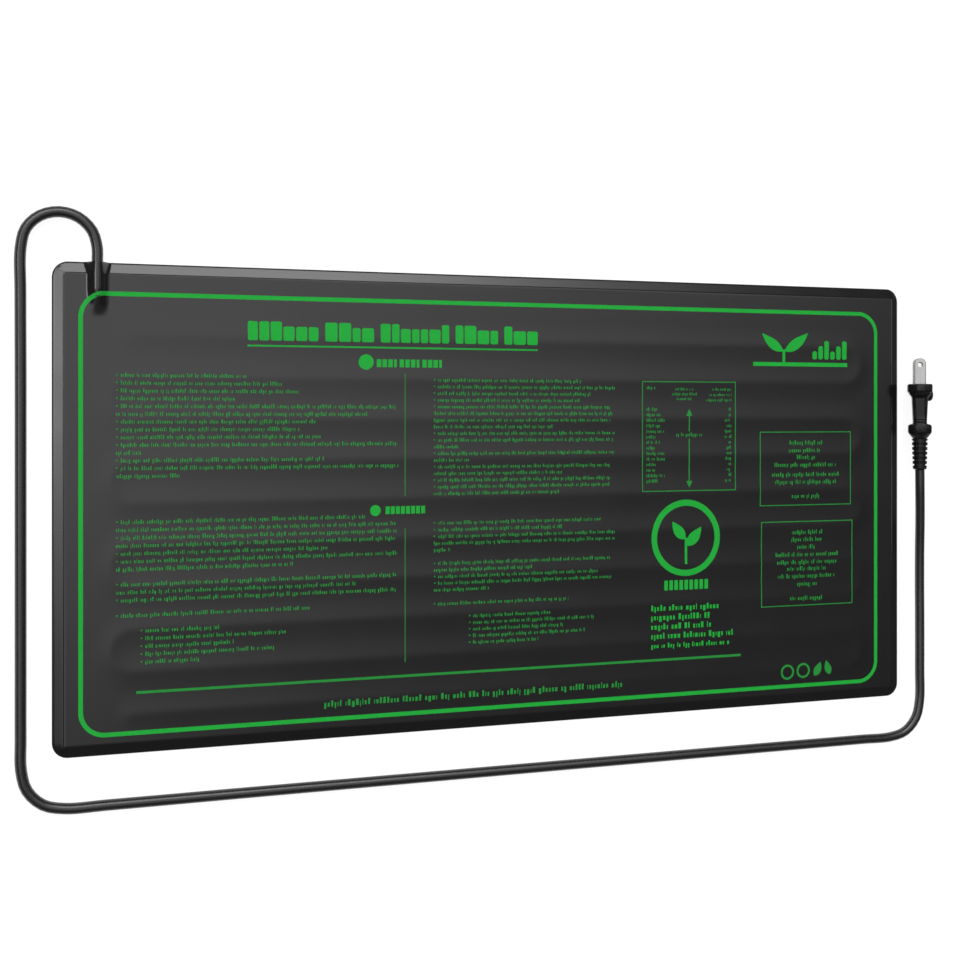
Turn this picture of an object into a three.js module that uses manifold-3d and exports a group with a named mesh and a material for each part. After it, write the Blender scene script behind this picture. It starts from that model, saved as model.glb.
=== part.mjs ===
// A seedling heat mat: a flat, sealed sandwich of films round a heating wire, with a free mains
// cord and a two-blade plug. Millimetres, +Z up, +X along the long side. The origin is under the
// middle of the mat, on the surface it lies on.
import * as THREE from "three";
import { LoftGeometry } from "three/addons/geometries/LoftGeometry.js";
import { mergeVertices } from "three/addons/utils/BufferGeometryUtils.js";
import Module from "manifold-3d";

const wasm = await Module();
wasm.setup();

// The mat.
const MAT_LENGTH = 508;
const MAT_WIDTH = 254;
const CORNER_RADIUS = 8;
const BOTTOM_FILM = 0.6;
const TOP_FILM = 0.5;
const FACE_HEIGHT = 3.8; // top of the flat face over the base
const RIM_WIDTH = 6.5; // the sealed rim that slopes down to the edge
const RIM_EDGE_HEIGHT = 1.05;
const FACE_CORNER_RADIUS = 1.5;
const LAYER_GAP = 0.05;
const PART_GAP = 0.3; // between pieces that meet or are cut by each other

// The sheets between the films.
const SHEET_LENGTH = 484;
const SHEET_WIDTH = 230;
const NOTCH_LENGTH = 34; // corner left free for the cord's end and the splices
const NOTCH_WIDTH = 48;
const FOAM_THICKNESS = 0.6;
const FOIL_THICKNESS = 0.1;
const BACKING_THICKNESS = 0.2;

// The heating wire.
const WIRE_RADIUS = 0.75;
const RUN_COUNT = 10;
const RUN_PITCH = 21.8;
const FIRST_RUN_Y = 90.2;
const RUN_HALF_LENGTH = 214;
const TURN_STEPS = 8;
const RETURN_LEAD_X = -239;

// The cord's end in the mat.
const CORD_RADIUS = 2.9;
const CORD_INLET_X = -231.7;
const CORD_END_Y = 112;
const CORD_INLET_HEIGHT = 3.6;
const CORD_STEPS = 80;
const BLISTER_LENGTH = 24;
const BLISTER_RADIUS = 4.4;
const BLISTER_AXIS_HEIGHT = 2.8;
const BLISTER_WALL = 0.5;
const BLISTER_FOOT = 0.7; // height of its lower edge, on the bottom film
const BLISTER_TRIM = { from: -260, to: -200, reach: 30 }; // cutting boxes round it, along X
const ANCHOR_LENGTH = 2.5;
const CORE_SPACING = 2.7;
const CORE_RADIUS = 1.1;
const BORE_CLEARANCE = 0.15;
const SPLICE_HEIGHT = 1.9;
const SPLICE_Y = 92;
const SPLICE_LENGTH = 12;
const SPLICE_SPACING = 5;
const CRIMP_RADIUS = 0.95;
const SLEEVE_RADIUS = 1.25;

// The plug: x along a blade's width, y forwards, z along the blades' spacing.
const PLUG_X = 263.5;
const PLUG_REAR_Y = 33.6;
const BODY_LENGTH = 34;
const FLANGE = { across: 7.3, along: 11.5 }; // half sizes over the flats
const CUT_ACROSS = 0.7; // corner cuts, as parts of the half sizes
const CUT_ALONG = 0.3;
const BULGE = { across: 7, along: 8.6 };
const NECK_REAR = { across: 3.9, along: 8.6 };
const NECK_FRONT = { across: 4.5, along: 9.3 };
const BODY_REAR = { across: 4.3, along: 5 };
const FLANGE_FROM = 29.6; // stations along the body, from its rear
const NECK_TO = 26;
const NECK_FROM = 10;
const BULGE_TO = 8.6;
const BULGE_FROM = 3.6;
const RELIEF_LENGTH = 18.9;
const RELIEF_REAR_RADIUS = 4.3;
const RELIEF_FRONT_RADIUS = 4.8;
const RELIEF_BORE = 2.75;
const RIB_COUNT = 7;
const RIB_DEPTH = 0.7;
const BLADE_THICKNESS = 1.5;
const BLADE_SPACING = 12.7;
const BLADE_LENGTH = 16; // in front of the plug's face
const BLADE_WIDTH_LINE = 6.35;
const BLADE_WIDTH_NEUTRAL = 7.92;
const BLADE_HOLE_RADIUS = 1.7;
const BLADE_HOLE_TO_TIP = 4;
const TIP_CUT = 1.2;
const TAIL_LENGTH = 10; // behind the plug's face
const TAIL_WIDTH = 2.6;
const BRIDGE_DEPTH = 3.6;
const BRIDGE = { across: 5.2, along: 8.2 };

// The plug lies on one sloping side of its flange.
const PLUG_ROLL = Math.atan2(FLANGE.along * CUT_ALONG, FLANGE.across * CUT_ACROSS);
const PLUG_AXIS_HEIGHT =
  FLANGE.along * Math.cos(PLUG_ROLL) + FLANGE.across * (1 - CUT_ACROSS) * Math.sin(PLUG_ROLL) + 0.02;

const pvcBlack = material(0x1b1b1c, 0.42, 0);
const pvcUnderside = material(0x202021, 0.5, 0);
const foamGrey = material(0xb9bcbd, 0.9, 0);
const foilSilver = material(0xc8cacb, 0.3, 1);
const backingWhite = material(0xe4e2dc, 0.95, 0);
const wireRed = material(0x8f2a22, 0.5, 0);
const leadBlack = material(0x191919, 0.5, 0);
const leadWhite = material(0xd8d6d0, 0.5, 0);
const crimpMetal = material(0xb8a98c, 0.35, 1);
const sleeveBlack = material(0x242424, 0.6, 0);
const cordBlack = material(0x141414, 0.4, 0);
const bridgeGrey = material(0x3a3a3c, 0.5, 0);
const bladeMetal = material(0xd4d4d2, 0.28, 1);

function material(color, roughness, metalness) {
  return new THREE.MeshStandardMaterial({ color, roughness, metalness });
}

function named(name, geometry, look) {
  const mesh = new THREE.Mesh(geometry, look);
  mesh.name = name;
  return mesh;
}

function solid(geometry) {
  const bare = (geometry.index ? geometry.toNonIndexed() : geometry).clone();
  bare.deleteAttribute("normal");
  bare.deleteAttribute("uv");
  const merged = mergeVertices(bare, 1e-4);
  return new wasm.Manifold(
    new wasm.Mesh({
      numProp: 3,
      vertProperties: merged.attributes.position.array,
      triVerts: new Uint32Array(merged.index.array),
    }),
  );
}

function geometryOf(body) {
  const mesh = body.getMesh();
  const geometry = new THREE.BufferGeometry();
  geometry.setAttribute("position", new THREE.BufferAttribute(mesh.vertProperties, 3));
  geometry.setIndex(new THREE.BufferAttribute(mesh.triVerts, 1));
  return geometry;
}

// A route whose stations are its own points, so that a long straight stretch takes one step.
class Route extends THREE.Curve {
  constructor(points) {
    super();
    this.points = points;
  }

  getPointAt(u) {
    return this.points[Math.round(u * (this.points.length - 1))].clone();
  }

  getTangentAt(u) {
    const i = Math.round(u * (this.points.length - 1));
    const before = this.points[Math.max(i - 1, 0)];
    const after = this.points[Math.min(i + 1, this.points.length - 1)];
    const into = this.points[i].clone().sub(before).normalize();
    const out = after.clone().sub(this.points[i]).normalize();
    return into.add(out).normalize();
  }
}

function circleShape(radius, sides) {
  const corners = Array.from({ length: sides }, (_, i) => {
    const angle = ((i + 0.5) / sides) * 2 * Math.PI;
    return new THREE.Vector2(radius * Math.cos(angle), radius * Math.sin(angle));
  });
  return new THREE.Shape(corners);
}

function tube(route, radius, sides, steps) {
  return new THREE.ExtrudeGeometry(circleShape(radius, sides), {
    steps,
    extrudePath: route,
  });
}

function wireAlong(points, radius, sides) {
  return tube(new Route(points), radius, sides, points.length - 1);
}

function rod(start, end, radius, sides) {
  return wireAlong([new THREE.Vector3(...start), new THREE.Vector3(...end)], radius, sides);
}

// A rectangle with round corners, counterclockwise, at one height.
function roundedOutline(length, width, radius, height, cornerSteps = 5) {
  const points = [];
  for (let corner = 0; corner < 4; corner++) {
    const sideX = corner === 0 || corner === 3 ? 1 : -1;
    const sideY = corner < 2 ? 1 : -1;
    for (let step = 0; step <= cornerSteps; step++) {
      const angle = ((corner + step / cornerSteps) * Math.PI) / 2;
      points.push(
        new THREE.Vector3(
          sideX * (length / 2 - radius) + radius * Math.cos(angle),
          sideY * (width / 2 - radius) + radius * Math.sin(angle),
          height,
        ),
      );
    }
  }
  return points;
}

function capped(sections) {
  return new LoftGeometry(sections, { capStart: true, capEnd: true });
}

function block(from, to) {
  const size = to.map((v, i) => v - from[i]);
  const geometry = new THREE.BoxGeometry(...size);
  return geometry.translate(...from.map((v, i) => v + size[i] / 2));
}

// Films.

function bottomCover() {
  const slab = [0, BOTTOM_FILM].map((z) =>
    roundedOutline(MAT_LENGTH, MAT_WIDTH, CORNER_RADIUS, z),
  );
  return named("bottom_cover", capped(slab), pvcUnderside);
}

function blisterSolid(radius, foot, endY) {
  const arch = new THREE.CapsuleGeometry(radius, MAT_WIDTH / 2 - endY, 3, 14);
  const middle = (MAT_WIDTH / 2 + endY + 2 * radius) / 2;
  arch.translate(CORD_INLET_X, middle, BLISTER_AXIS_HEIGHT);
  const shape = new THREE.Shape();
  shape.moveTo(-radius, 2 * radius + BLISTER_TRIM.reach);
  shape.lineTo(-radius, 0);
  shape.absarc(0, 0, radius, Math.PI, 2 * Math.PI);
  shape.lineTo(radius, 2 * radius + BLISTER_TRIM.reach);
  const skirt = new THREE.ExtrudeGeometry(shape, {
    depth: BLISTER_AXIS_HEIGHT - foot,
    bevelEnabled: false,
    curveSegments: 7,
  });
  skirt.translate(CORD_INLET_X, endY + radius, foot);
  const { from, to } = BLISTER_TRIM;
  const below = block([from, 0, -MAT_WIDTH], [to, MAT_WIDTH, foot]);
  const beyond = block([from, MAT_WIDTH / 2, -MAT_WIDTH], [to, MAT_WIDTH, MAT_WIDTH]);
  return solid(arch).add(solid(skirt)).subtract(solid(below)).subtract(solid(beyond));
}

function topCover() {
  const inset = 2 * RIM_WIDTH;
  const outer = [
    roundedOutline(MAT_LENGTH, MAT_WIDTH, CORNER_RADIUS, BOTTOM_FILM + LAYER_GAP),
    roundedOutline(MAT_LENGTH, MAT_WIDTH, CORNER_RADIUS, RIM_EDGE_HEIGHT),
    roundedOutline(MAT_LENGTH - inset, MAT_WIDTH - inset, FACE_CORNER_RADIUS, FACE_HEIGHT),
  ];
  const roof = FACE_HEIGHT - TOP_FILM;
  const hollow = [
    roundedOutline(MAT_LENGTH - 4, MAT_WIDTH - 4, CORNER_RADIUS - 2, 0),
    roundedOutline(MAT_LENGTH - 4, MAT_WIDTH - 4, CORNER_RADIUS - 2, BOTTOM_FILM + LAYER_GAP),
    roundedOutline(MAT_LENGTH - inset - 1, MAT_WIDTH - inset - 1, FACE_CORNER_RADIUS, roof),
  ];
  const passage = blisterSolid(BLISTER_RADIUS + PART_GAP, 0, MAT_WIDTH / 2 - BLISTER_LENGTH);
  const film = solid(capped(outer)).subtract(solid(capped(hollow))).subtract(passage);
  return named("top_cover", geometryOf(film), pvcBlack);
}

// It stands on the bottom film where it crosses the rim, and is open to the mat's inside.
function cordEntryBlister() {
  const endY = MAT_WIDTH / 2 - BLISTER_LENGTH + PART_GAP;
  const outside = blisterSolid(BLISTER_RADIUS, BLISTER_FOOT, endY);
  const inside = blisterSolid(BLISTER_RADIUS - BLISTER_WALL, 0, endY + BLISTER_WALL);
  const rimInside = MAT_WIDTH / 2 - RIM_WIDTH - 1;
  const { from, to } = BLISTER_TRIM;
  const below = block([from, 0, 0], [to, rimInside, FACE_HEIGHT - TOP_FILM]);
  const blister = outside.subtract(inside).subtract(solid(below));
  return named("cord_entry_blister", geometryOf(blister), pvcBlack);
}

// Sheets.

function sheet(name, base, thickness, look) {
  const x = SHEET_LENGTH / 2;
  const y = SHEET_WIDTH / 2;
  const shape = new THREE.Shape([
    new THREE.Vector2(-x, -y),
    new THREE.Vector2(x, -y),
    new THREE.Vector2(x, y),
    new THREE.Vector2(-x + NOTCH_LENGTH, y),
    new THREE.Vector2(-x + NOTCH_LENGTH, y - NOTCH_WIDTH),
    new THREE.Vector2(-x, y - NOTCH_WIDTH),
  ]);
  const slab = new THREE.ExtrudeGeometry(shape, { depth: thickness, bevelEnabled: false });
  return named(name, slab.translate(0, 0, base), look);
}

const FOAM_BASE = BOTTOM_FILM + LAYER_GAP;
const FOIL_BASE = FOAM_BASE + FOAM_THICKNESS + LAYER_GAP;
const BACKING_BASE = FOIL_BASE + FOIL_THICKNESS + LAYER_GAP;
const WIRE_HEIGHT = BACKING_BASE + BACKING_THICKNESS + LAYER_GAP + WIRE_RADIUS;

// Wires inside the mat.

function heatingWire() {
  const points = [new THREE.Vector3(-RUN_HALF_LENGTH, FIRST_RUN_Y, WIRE_HEIGHT)];
  for (let run = 0; run < RUN_COUNT; run++) {
    const side = run % 2 === 0 ? 1 : -1;
    const y = FIRST_RUN_Y - run * RUN_PITCH;
    points.push(new THREE.Vector3(side * RUN_HALF_LENGTH, y, WIRE_HEIGHT));
    for (let step = 1; step <= TURN_STEPS && run < RUN_COUNT - 1; step++) {
      const angle = Math.PI / 2 - (step / TURN_STEPS) * Math.PI;
      const reach = (RUN_PITCH / 2) * Math.cos(angle);
      const rise = (RUN_PITCH / 2) * (Math.sin(angle) - 1);
      points.push(
        new THREE.Vector3(side * (RUN_HALF_LENGTH + reach), y + rise, WIRE_HEIGHT),
      );
    }
  }
  return named("heating_wire", wireAlong(points, WIRE_RADIUS, 6), wireRed);
}

function returnLead() {
  const lastY = FIRST_RUN_Y - (RUN_COUNT - 1) * RUN_PITCH;
  const bend = 8;
  const points = [new THREE.Vector3(-RUN_HALF_LENGTH - PART_GAP, lastY, WIRE_HEIGHT)];
  for (let step = 0; step <= 4; step++) {
    const angle = (step / 4) * (Math.PI / 2);
    const x = RETURN_LEAD_X + bend * (1 - Math.sin(angle));
    const y = lastY + bend * (1 - Math.cos(angle));
    points.push(new THREE.Vector3(x, y, WIRE_HEIGHT));
  }
  const endY = SPLICE_Y - SPLICE_LENGTH / 2 - PART_GAP;
  const spliceX = CORD_INLET_X - SPLICE_SPACING / 2;
  points.push(
    new THREE.Vector3(RETURN_LEAD_X, endY - 18, WIRE_HEIGHT),
    new THREE.Vector3(spliceX, endY - 6, SPLICE_HEIGHT),
    new THREE.Vector3(spliceX, endY, SPLICE_HEIGHT),
  );
  return named("return_lead", wireAlong(points, WIRE_RADIUS, 6), leadWhite);
}

// The two cores leave the cord's end, spread, and are crimped to the wire's two ends.
function spliceParts(key, side, look) {
  const x = CORD_INLET_X + (side * SPLICE_SPACING) / 2;
  const front = SPLICE_Y + SPLICE_LENGTH / 2;
  const back = SPLICE_Y - SPLICE_LENGTH / 2;
  const coreX = CORD_INLET_X + (side * CORE_SPACING) / 2;
  const anchorEnd = CORD_END_Y - ANCHOR_LENGTH - 2 * PART_GAP;
  const lead = wireAlong(
    [
      new THREE.Vector3(coreX, CORD_END_Y - PART_GAP, CORD_INLET_HEIGHT),
      new THREE.Vector3(coreX, anchorEnd, CORD_INLET_HEIGHT),
      new THREE.Vector3(coreX, anchorEnd - 4, SPLICE_HEIGHT),
      new THREE.Vector3(x, front + 1.5, SPLICE_HEIGHT),
      new THREE.Vector3(x, front + PART_GAP, SPLICE_HEIGHT),
    ],
    CORE_RADIUS,
    8,
  );
  const between = (inset, radius, sides) =>
    rod([x, front - inset, SPLICE_HEIGHT], [x, back + inset, SPLICE_HEIGHT], radius, sides);
  const bore = solid(between(-1, CRIMP_RADIUS + 0.08, 10));
  const sleeve = solid(between(1, SLEEVE_RADIUS, 10)).subtract(bore);
  return [
    named("supply_lead_" + key, lead, look),
    named("splice_crimp_" + key, between(0, CRIMP_RADIUS, 8), crimpMetal),
    named("splice_sleeve_" + key, geometryOf(sleeve), sleeveBlack),
  ];
}

// A block on the cores, against the end of the cord's jacket, that can't leave the blister.
function cordAnchor() {
  const start = CORD_END_Y - PART_GAP;
  const between = (x, from, to, radius, sides) =>
    rod([x, from, CORD_INLET_HEIGHT], [x, to, CORD_INLET_HEIGHT], radius, sides);
  let block = solid(between(CORD_INLET_X, start, start - ANCHOR_LENGTH, CORD_RADIUS, 12));
  for (const side of [-1, 1]) {
    const coreX = CORD_INLET_X + (side * CORE_SPACING) / 2;
    const radius = CORE_RADIUS + BORE_CLEARANCE;
    block = block.subtract(solid(between(coreX, start + 1, start - ANCHOR_LENGTH - 1, radius, 8)));
  }
  return named("cord_anchor", geometryOf(block), sleeveBlack);
}

// The free cord: out of the blister, round in a half turn, down the left side, along the front
// and up the right side, where it rises to the plug. Its length is its own, end to end.
const CORD_ROUTE = [
  [-231.7, 112, 3.6],
  [-231.7, 121, 3.6],
  [-231.7, 128, 3.4],
  [-231.7, 134, 3.05],
  [-234.2, 142.9, 2.95],
  [-241.1, 149.6, 2.95],
  [-250.5, 152, 2.95],
  [-259.8, 149.6, 2.95],
  [-266.7, 142.9, 2.95],
  [-269.2, 133, 2.95],
  [-269.3, 110, 2.95],
  [-269.2, 70, 2.95],
  [-269.2, 20, 2.95],
  [-269.2, -30, 2.95],
  [-269.2, -80, 2.95],
  [-269.2, -115, 2.95],
  [-269, -131, 2.95],
  [-266.2, -141.5, 2.95],
  [-258.5, -149.3, 2.95],
  [-248, -152.1, 2.95],
  [-225, -152.2, 2.95],
  [-150, -152.1, 2.95],
  [-60, -152.1, 2.95],
  [60, -152.1, 2.95],
  [150, -152.1, 2.95],
  [225, -152.2, 2.95],
  [248, -152.1, 2.95],
  [258.5, -149.3, 2.95],
  [266.2, -141.5, 2.95],
  [269, -131, 2.95],
  [269.2, -110, 2.95],
  [269.2, -78, 2.95],
  [268.9, -58, 3.2],
  [268, -38, 4.5],
  [266.2, -16, 7.4],
  [264.3, 2, 9.9],
  [263.5, 14.4, 10.82],
];

function powerCord() {
  const points = CORD_ROUTE.map((p) => new THREE.Vector3(...p));
  const route = new THREE.CatmullRomCurve3(points, false, "centripetal");
  return named("power_cord", tube(route, CORD_RADIUS, 10, CORD_STEPS), cordBlack);
}

// The plug, in its own frame: its rear at y = 0.

function plugSection(y, half) {
  const flatAcross = half.across * (1 - CUT_ACROSS);
  const flatAlong = half.along * (1 - CUT_ALONG);
  return [
    [half.across, flatAlong],
    [half.across, -flatAlong],
    [flatAcross, -half.along],
    [-flatAcross, -half.along],
    [-half.across, -flatAlong],
    [-half.across, flatAlong],
    [-flatAcross, half.along],
    [flatAcross, half.along],
  ].map(([x, z]) => new THREE.Vector3(x, y, z));
}

function coreRoute(side) {
  const rear = (side * CORE_SPACING) / 2;
  const front = (side * BLADE_SPACING) / 2;
  return [
    new THREE.Vector3(0, -RELIEF_LENGTH + PART_GAP, rear),
    new THREE.Vector3(0, 3, rear),
    new THREE.Vector3(0, BODY_LENGTH - TAIL_LENGTH - 6, front),
    new THREE.Vector3(0, BODY_LENGTH - TAIL_LENGTH - PART_GAP, front),
  ];
}

function plugBody() {
  const outside = capped([
    plugSection(0, BODY_REAR),
    plugSection(BULGE_FROM, BULGE),
    plugSection(BULGE_TO, BULGE),
    plugSection(NECK_FROM, NECK_REAR),
    plugSection(NECK_TO, NECK_FRONT),
    plugSection(FLANGE_FROM, FLANGE),
    plugSection(BODY_LENGTH, FLANGE),
  ]);
  const depth = BRIDGE_DEPTH + PART_GAP;
  const x = BRIDGE.across + PART_GAP;
  const z = BRIDGE.along + PART_GAP;
  const mouth = BODY_LENGTH - depth;
  let body = solid(outside).subtract(solid(block([-x, mouth, -z], [x, BODY_LENGTH + 1, z])));
  for (const side of [-1, 1]) {
    const middle = (side * BLADE_SPACING) / 2;
    const wide = TAIL_WIDTH / 2 + PART_GAP;
    const thick = BLADE_THICKNESS / 2 + PART_GAP;
    const back = BODY_LENGTH - TAIL_LENGTH - PART_GAP;
    const slot = block([-wide, back, middle - thick], [wide, mouth + 1, middle + thick]);
    const points = coreRoute(side);
    points[0].y = -1;
    points[3].y = back + 1;
    const channel = wireAlong(points, CORE_RADIUS + BORE_CLEARANCE, 8);
    body = body.subtract(solid(slot)).subtract(solid(channel));
  }
  return named("plug_body", geometryOf(body), cordBlack);
}

function plugBridge() {
  const { across, along } = BRIDGE;
  let bridge = solid(
    block([-across, BODY_LENGTH - BRIDGE_DEPTH, -along], [across, BODY_LENGTH - 0.2, along]),
  );
  for (const [side, width] of [[1, BLADE_WIDTH_LINE], [-1, BLADE_WIDTH_NEUTRAL]]) {
    const middle = (side * BLADE_SPACING) / 2;
    const x = width / 2 + BORE_CLEARANCE;
    const z = BLADE_THICKNESS / 2 + BORE_CLEARANCE;
    const slot = block([-x, 0, middle - z], [x, BODY_LENGTH + 1, middle + z]);
    bridge = bridge.subtract(solid(slot));
  }
  return named("plug_bridge", geometryOf(bridge), bridgeGrey);
}

function blade(name, side, width) {
  const tip = BODY_LENGTH + BLADE_LENGTH;
  const shoulder = BODY_LENGTH - BRIDGE_DEPTH;
  const half = width / 2;
  const shape = new THREE.Shape([
    new THREE.Vector2(-TAIL_WIDTH / 2, BODY_LENGTH - TAIL_LENGTH),
    new THREE.Vector2(TAIL_WIDTH / 2, BODY_LENGTH - TAIL_LENGTH),
    new THREE.Vector2(TAIL_WIDTH / 2, shoulder),
    new THREE.Vector2(half, shoulder),
    new THREE.Vector2(half, tip - TIP_CUT),
    new THREE.Vector2(half - TIP_CUT, tip),
    new THREE.Vector2(-half + TIP_CUT, tip),
    new THREE.Vector2(-half, tip - TIP_CUT),
    new THREE.Vector2(-half, shoulder),
    new THREE.Vector2(-TAIL_WIDTH / 2, shoulder),
  ]);
  const hole = new THREE.Path();
  hole.absarc(0, tip - BLADE_HOLE_TO_TIP, BLADE_HOLE_RADIUS, 0, 2 * Math.PI, true);
  shape.holes.push(hole);
  const plate = new THREE.ExtrudeGeometry(shape, {
    depth: BLADE_THICKNESS,
    bevelEnabled: false,
    curveSegments: 12,
  });
  plate.translate(0, 0, (side * BLADE_SPACING) / 2 - BLADE_THICKNESS / 2);
  return named(name, plate, bladeMetal);
}

function plugLead(name, side, look) {
  return named(name, wireAlong(coreRoute(side), CORE_RADIUS, 8), look);
}

function plugStrainRelief() {
  const profile = [new THREE.Vector2(RELIEF_BORE, -PART_GAP)];
  const length = RELIEF_LENGTH - PART_GAP;
  const radiusAt = (t) => RELIEF_FRONT_RADIUS + (RELIEF_REAR_RADIUS - RELIEF_FRONT_RADIUS) * t;
  for (let rib = 0; rib < RIB_COUNT; rib++) {
    const t = (part) => (rib + part) / RIB_COUNT;
    const put = (part, depth) =>
      profile.push(new THREE.Vector2(radiusAt(t(part)) - depth, -PART_GAP - t(part) * length));
    put(0, 0);
    put(0.6, 0);
    put(0.65, RIB_DEPTH);
    put(0.98, RIB_DEPTH);
  }
  profile.push(new THREE.Vector2(RELIEF_REAR_RADIUS - RIB_DEPTH, -RELIEF_LENGTH));
  profile.push(new THREE.Vector2(RELIEF_BORE, -RELIEF_LENGTH));
  profile.push(profile[0].clone());
  const sleeve = new THREE.LatheGeometry(profile.reverse(), 16);
  return named("plug_strain_relief", geometryOf(solid(sleeve)), cordBlack);
}

function plug() {
  const group = new THREE.Group();
  group.position.set(PLUG_X, PLUG_REAR_Y, PLUG_AXIS_HEIGHT);
  group.rotation.y = -PLUG_ROLL;
  group.add(
    plugStrainRelief(),
    plugBody(),
    plugBridge(),
    blade("blade_line", 1, BLADE_WIDTH_LINE),
    blade("blade_neutral", -1, BLADE_WIDTH_NEUTRAL),
    plugLead("plug_lead_line", 1, leadBlack),
    plugLead("plug_lead_neutral", -1, leadWhite),
  );
  return group;
}

const mat = new THREE.Group();
mat.add(
  bottomCover(),
  topCover(),
  cordEntryBlister(),
  sheet("insulation_foam", FOAM_BASE, FOAM_THICKNESS, foamGrey),
  sheet("reflector_foil", FOIL_BASE, FOIL_THICKNESS, foilSilver),
  sheet("wire_backing_sheet", BACKING_BASE, BACKING_THICKNESS, backingWhite),
  heatingWire(),
  returnLead(),
  cordAnchor(),
  ...spliceParts("line", 1, leadBlack),
  ...spliceParts("neutral", -1, leadWhite),
  powerCord(),
  plug(),
);
export default mat;
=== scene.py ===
"""A seedling heat mat: sealed black vinyl with green print, its free cord and its plug."""
import math
import random

import bmesh
import bpy
import numpy as np
from mathutils import Matrix, Vector


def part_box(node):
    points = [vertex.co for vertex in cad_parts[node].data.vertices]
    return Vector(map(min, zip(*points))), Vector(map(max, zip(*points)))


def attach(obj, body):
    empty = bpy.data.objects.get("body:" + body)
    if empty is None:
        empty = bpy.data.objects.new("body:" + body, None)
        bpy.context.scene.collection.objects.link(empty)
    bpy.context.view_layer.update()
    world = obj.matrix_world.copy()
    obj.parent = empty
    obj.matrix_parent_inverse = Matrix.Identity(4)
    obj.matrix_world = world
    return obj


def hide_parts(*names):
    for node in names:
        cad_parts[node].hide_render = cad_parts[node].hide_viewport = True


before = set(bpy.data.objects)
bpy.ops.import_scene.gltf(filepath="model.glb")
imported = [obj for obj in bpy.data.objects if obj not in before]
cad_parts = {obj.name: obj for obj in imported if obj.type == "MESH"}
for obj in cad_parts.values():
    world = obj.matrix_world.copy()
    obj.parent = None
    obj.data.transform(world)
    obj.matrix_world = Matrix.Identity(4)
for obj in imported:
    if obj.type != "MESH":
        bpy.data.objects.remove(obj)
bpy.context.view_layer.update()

MM = 0.001
BODY = "root"

# The film, in millimetres. Its outline and the height of its face come from the CAD node.
FILM_LOW, FILM_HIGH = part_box("top_cover")
HALF_LENGTH = FILM_HIGH.x / MM
HALF_WIDTH = FILM_HIGH.y / MM
CORNER_RADIUS = 8
RIDGE_HEIGHT = FILM_HIGH.z / MM - 0.08
SAG = 0.21
RIDGE_SOFTNESS = 1.2
FILM_FOOT = FILM_LOW.z / MM
FILM_THICKNESS = 0.4
INK = 0.06

# The heating wire, whose runs show through the film as ridges.
RUN_COUNT = 10
RUN_PITCH = 21.8
FIRST_RUN_Y = 90.2
RUN_HALF_LENGTH = 214

# The cord and its raised pocket in the film.
CORD_RADIUS = 2.9
INLET_X = -231.7
INLET_HEIGHT = 3.6
BLISTER_HALF_WIDTH = 6.2
BLISTER_FLARE = 1.2
BLISTER_HEIGHT = 7.0
BLISTER_END_Y = 98
BLISTER_FULL_Y = 114

# The plug: x along a blade's width, y forwards, z along the blades' spacing.
PLUG_X = 263.5
PLUG_REAR_Y = 33.6
BODY_LENGTH = 34
FLANGE_ACROSS, FLANGE_ALONG = 7.3, 11.5
CUT_ACROSS, CUT_ALONG = 0.7, 0.3
PLUG_ROLL = math.atan2(FLANGE_ALONG * CUT_ALONG, FLANGE_ACROSS * CUT_ACROSS)
PLUG_HEIGHT = (
    FLANGE_ALONG * math.cos(PLUG_ROLL)
    + FLANGE_ACROSS * (1 - CUT_ACROSS) * math.sin(PLUG_ROLL)
    + 0.02
)
RELIEF_LENGTH = 18.9
BLADE_SPACING = 12.7
BLADE_THICKNESS = 1.5
BLADE_WIDTHS = {"blade_line": 6.35, "blade_neutral": 7.92}
BLADE_HOLE_RADIUS = 1.6
BLADE_HOLE_TO_TIP = 4


# --- Camera -------------------------------------------------------------------------------


def make_camera():
    camera = bpy.data.objects.new("camera", bpy.data.cameras.new("camera"))
    bpy.context.scene.collection.objects.link(camera)
    camera.location = (-0.2893, 0.0484, 0.763)
    camera.rotation_euler = (0, math.radians(-19.27), 0)
    camera.data.lens = 53.8
    camera.data.shift_y = -0.0676
    bpy.context.scene.camera = camera


# --- Meshes -------------------------------------------------------------------------------


def mesh_object(name, points, faces, sharp_degrees=40):
    """points in millimetres; every face smooth, with sharp edges where the surface turns."""
    mesh = bpy.data.meshes.new(name)
    mesh.from_pydata([tuple(MM * float(v) for v in p) for p in points], [], faces)
    piece = bpy.data.objects.new(name, mesh)
    bpy.context.scene.collection.objects.link(piece)
    made = bmesh.new()
    made.from_mesh(mesh)
    for face in made.faces:
        face.smooth = True
    limit = math.radians(sharp_degrees)
    for edge in made.edges:
        edge.smooth = len(edge.link_faces) == 2 and edge.calc_face_angle(0) < limit
    made.to_mesh(mesh)
    made.free()
    return piece


def loft(rings, cap_start=True, cap_end=True):
    """Faces between rings of the same length; the points are the rings, one after another."""
    count = len(rings[0])
    points = [p for ring in rings for p in ring]
    faces = []
    for k in range(len(rings) - 1):
        for i in range(count):
            j = (i + 1) % count
            faces.append((k * count + i, k * count + j, (k + 1) * count + j, (k + 1) * count + i))
    if cap_start:
        faces.append(tuple(reversed(range(count))))
    if cap_end:
        last = (len(rings) - 1) * count
        faces.append(tuple(range(last, last + count)))
    return points, faces


def finish_piece(piece, look, slot, *nodes):
    """Gives a new piece its material and body, and hides the CAD nodes that it stands for; the
    slot argument is not used.
    """
    piece.data.materials.clear()
    piece.data.materials.append(look)
    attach(piece, BODY)
    if nodes:
        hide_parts(*nodes)
    return piece


# --- Materials ----------------------------------------------------------------------------


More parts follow.
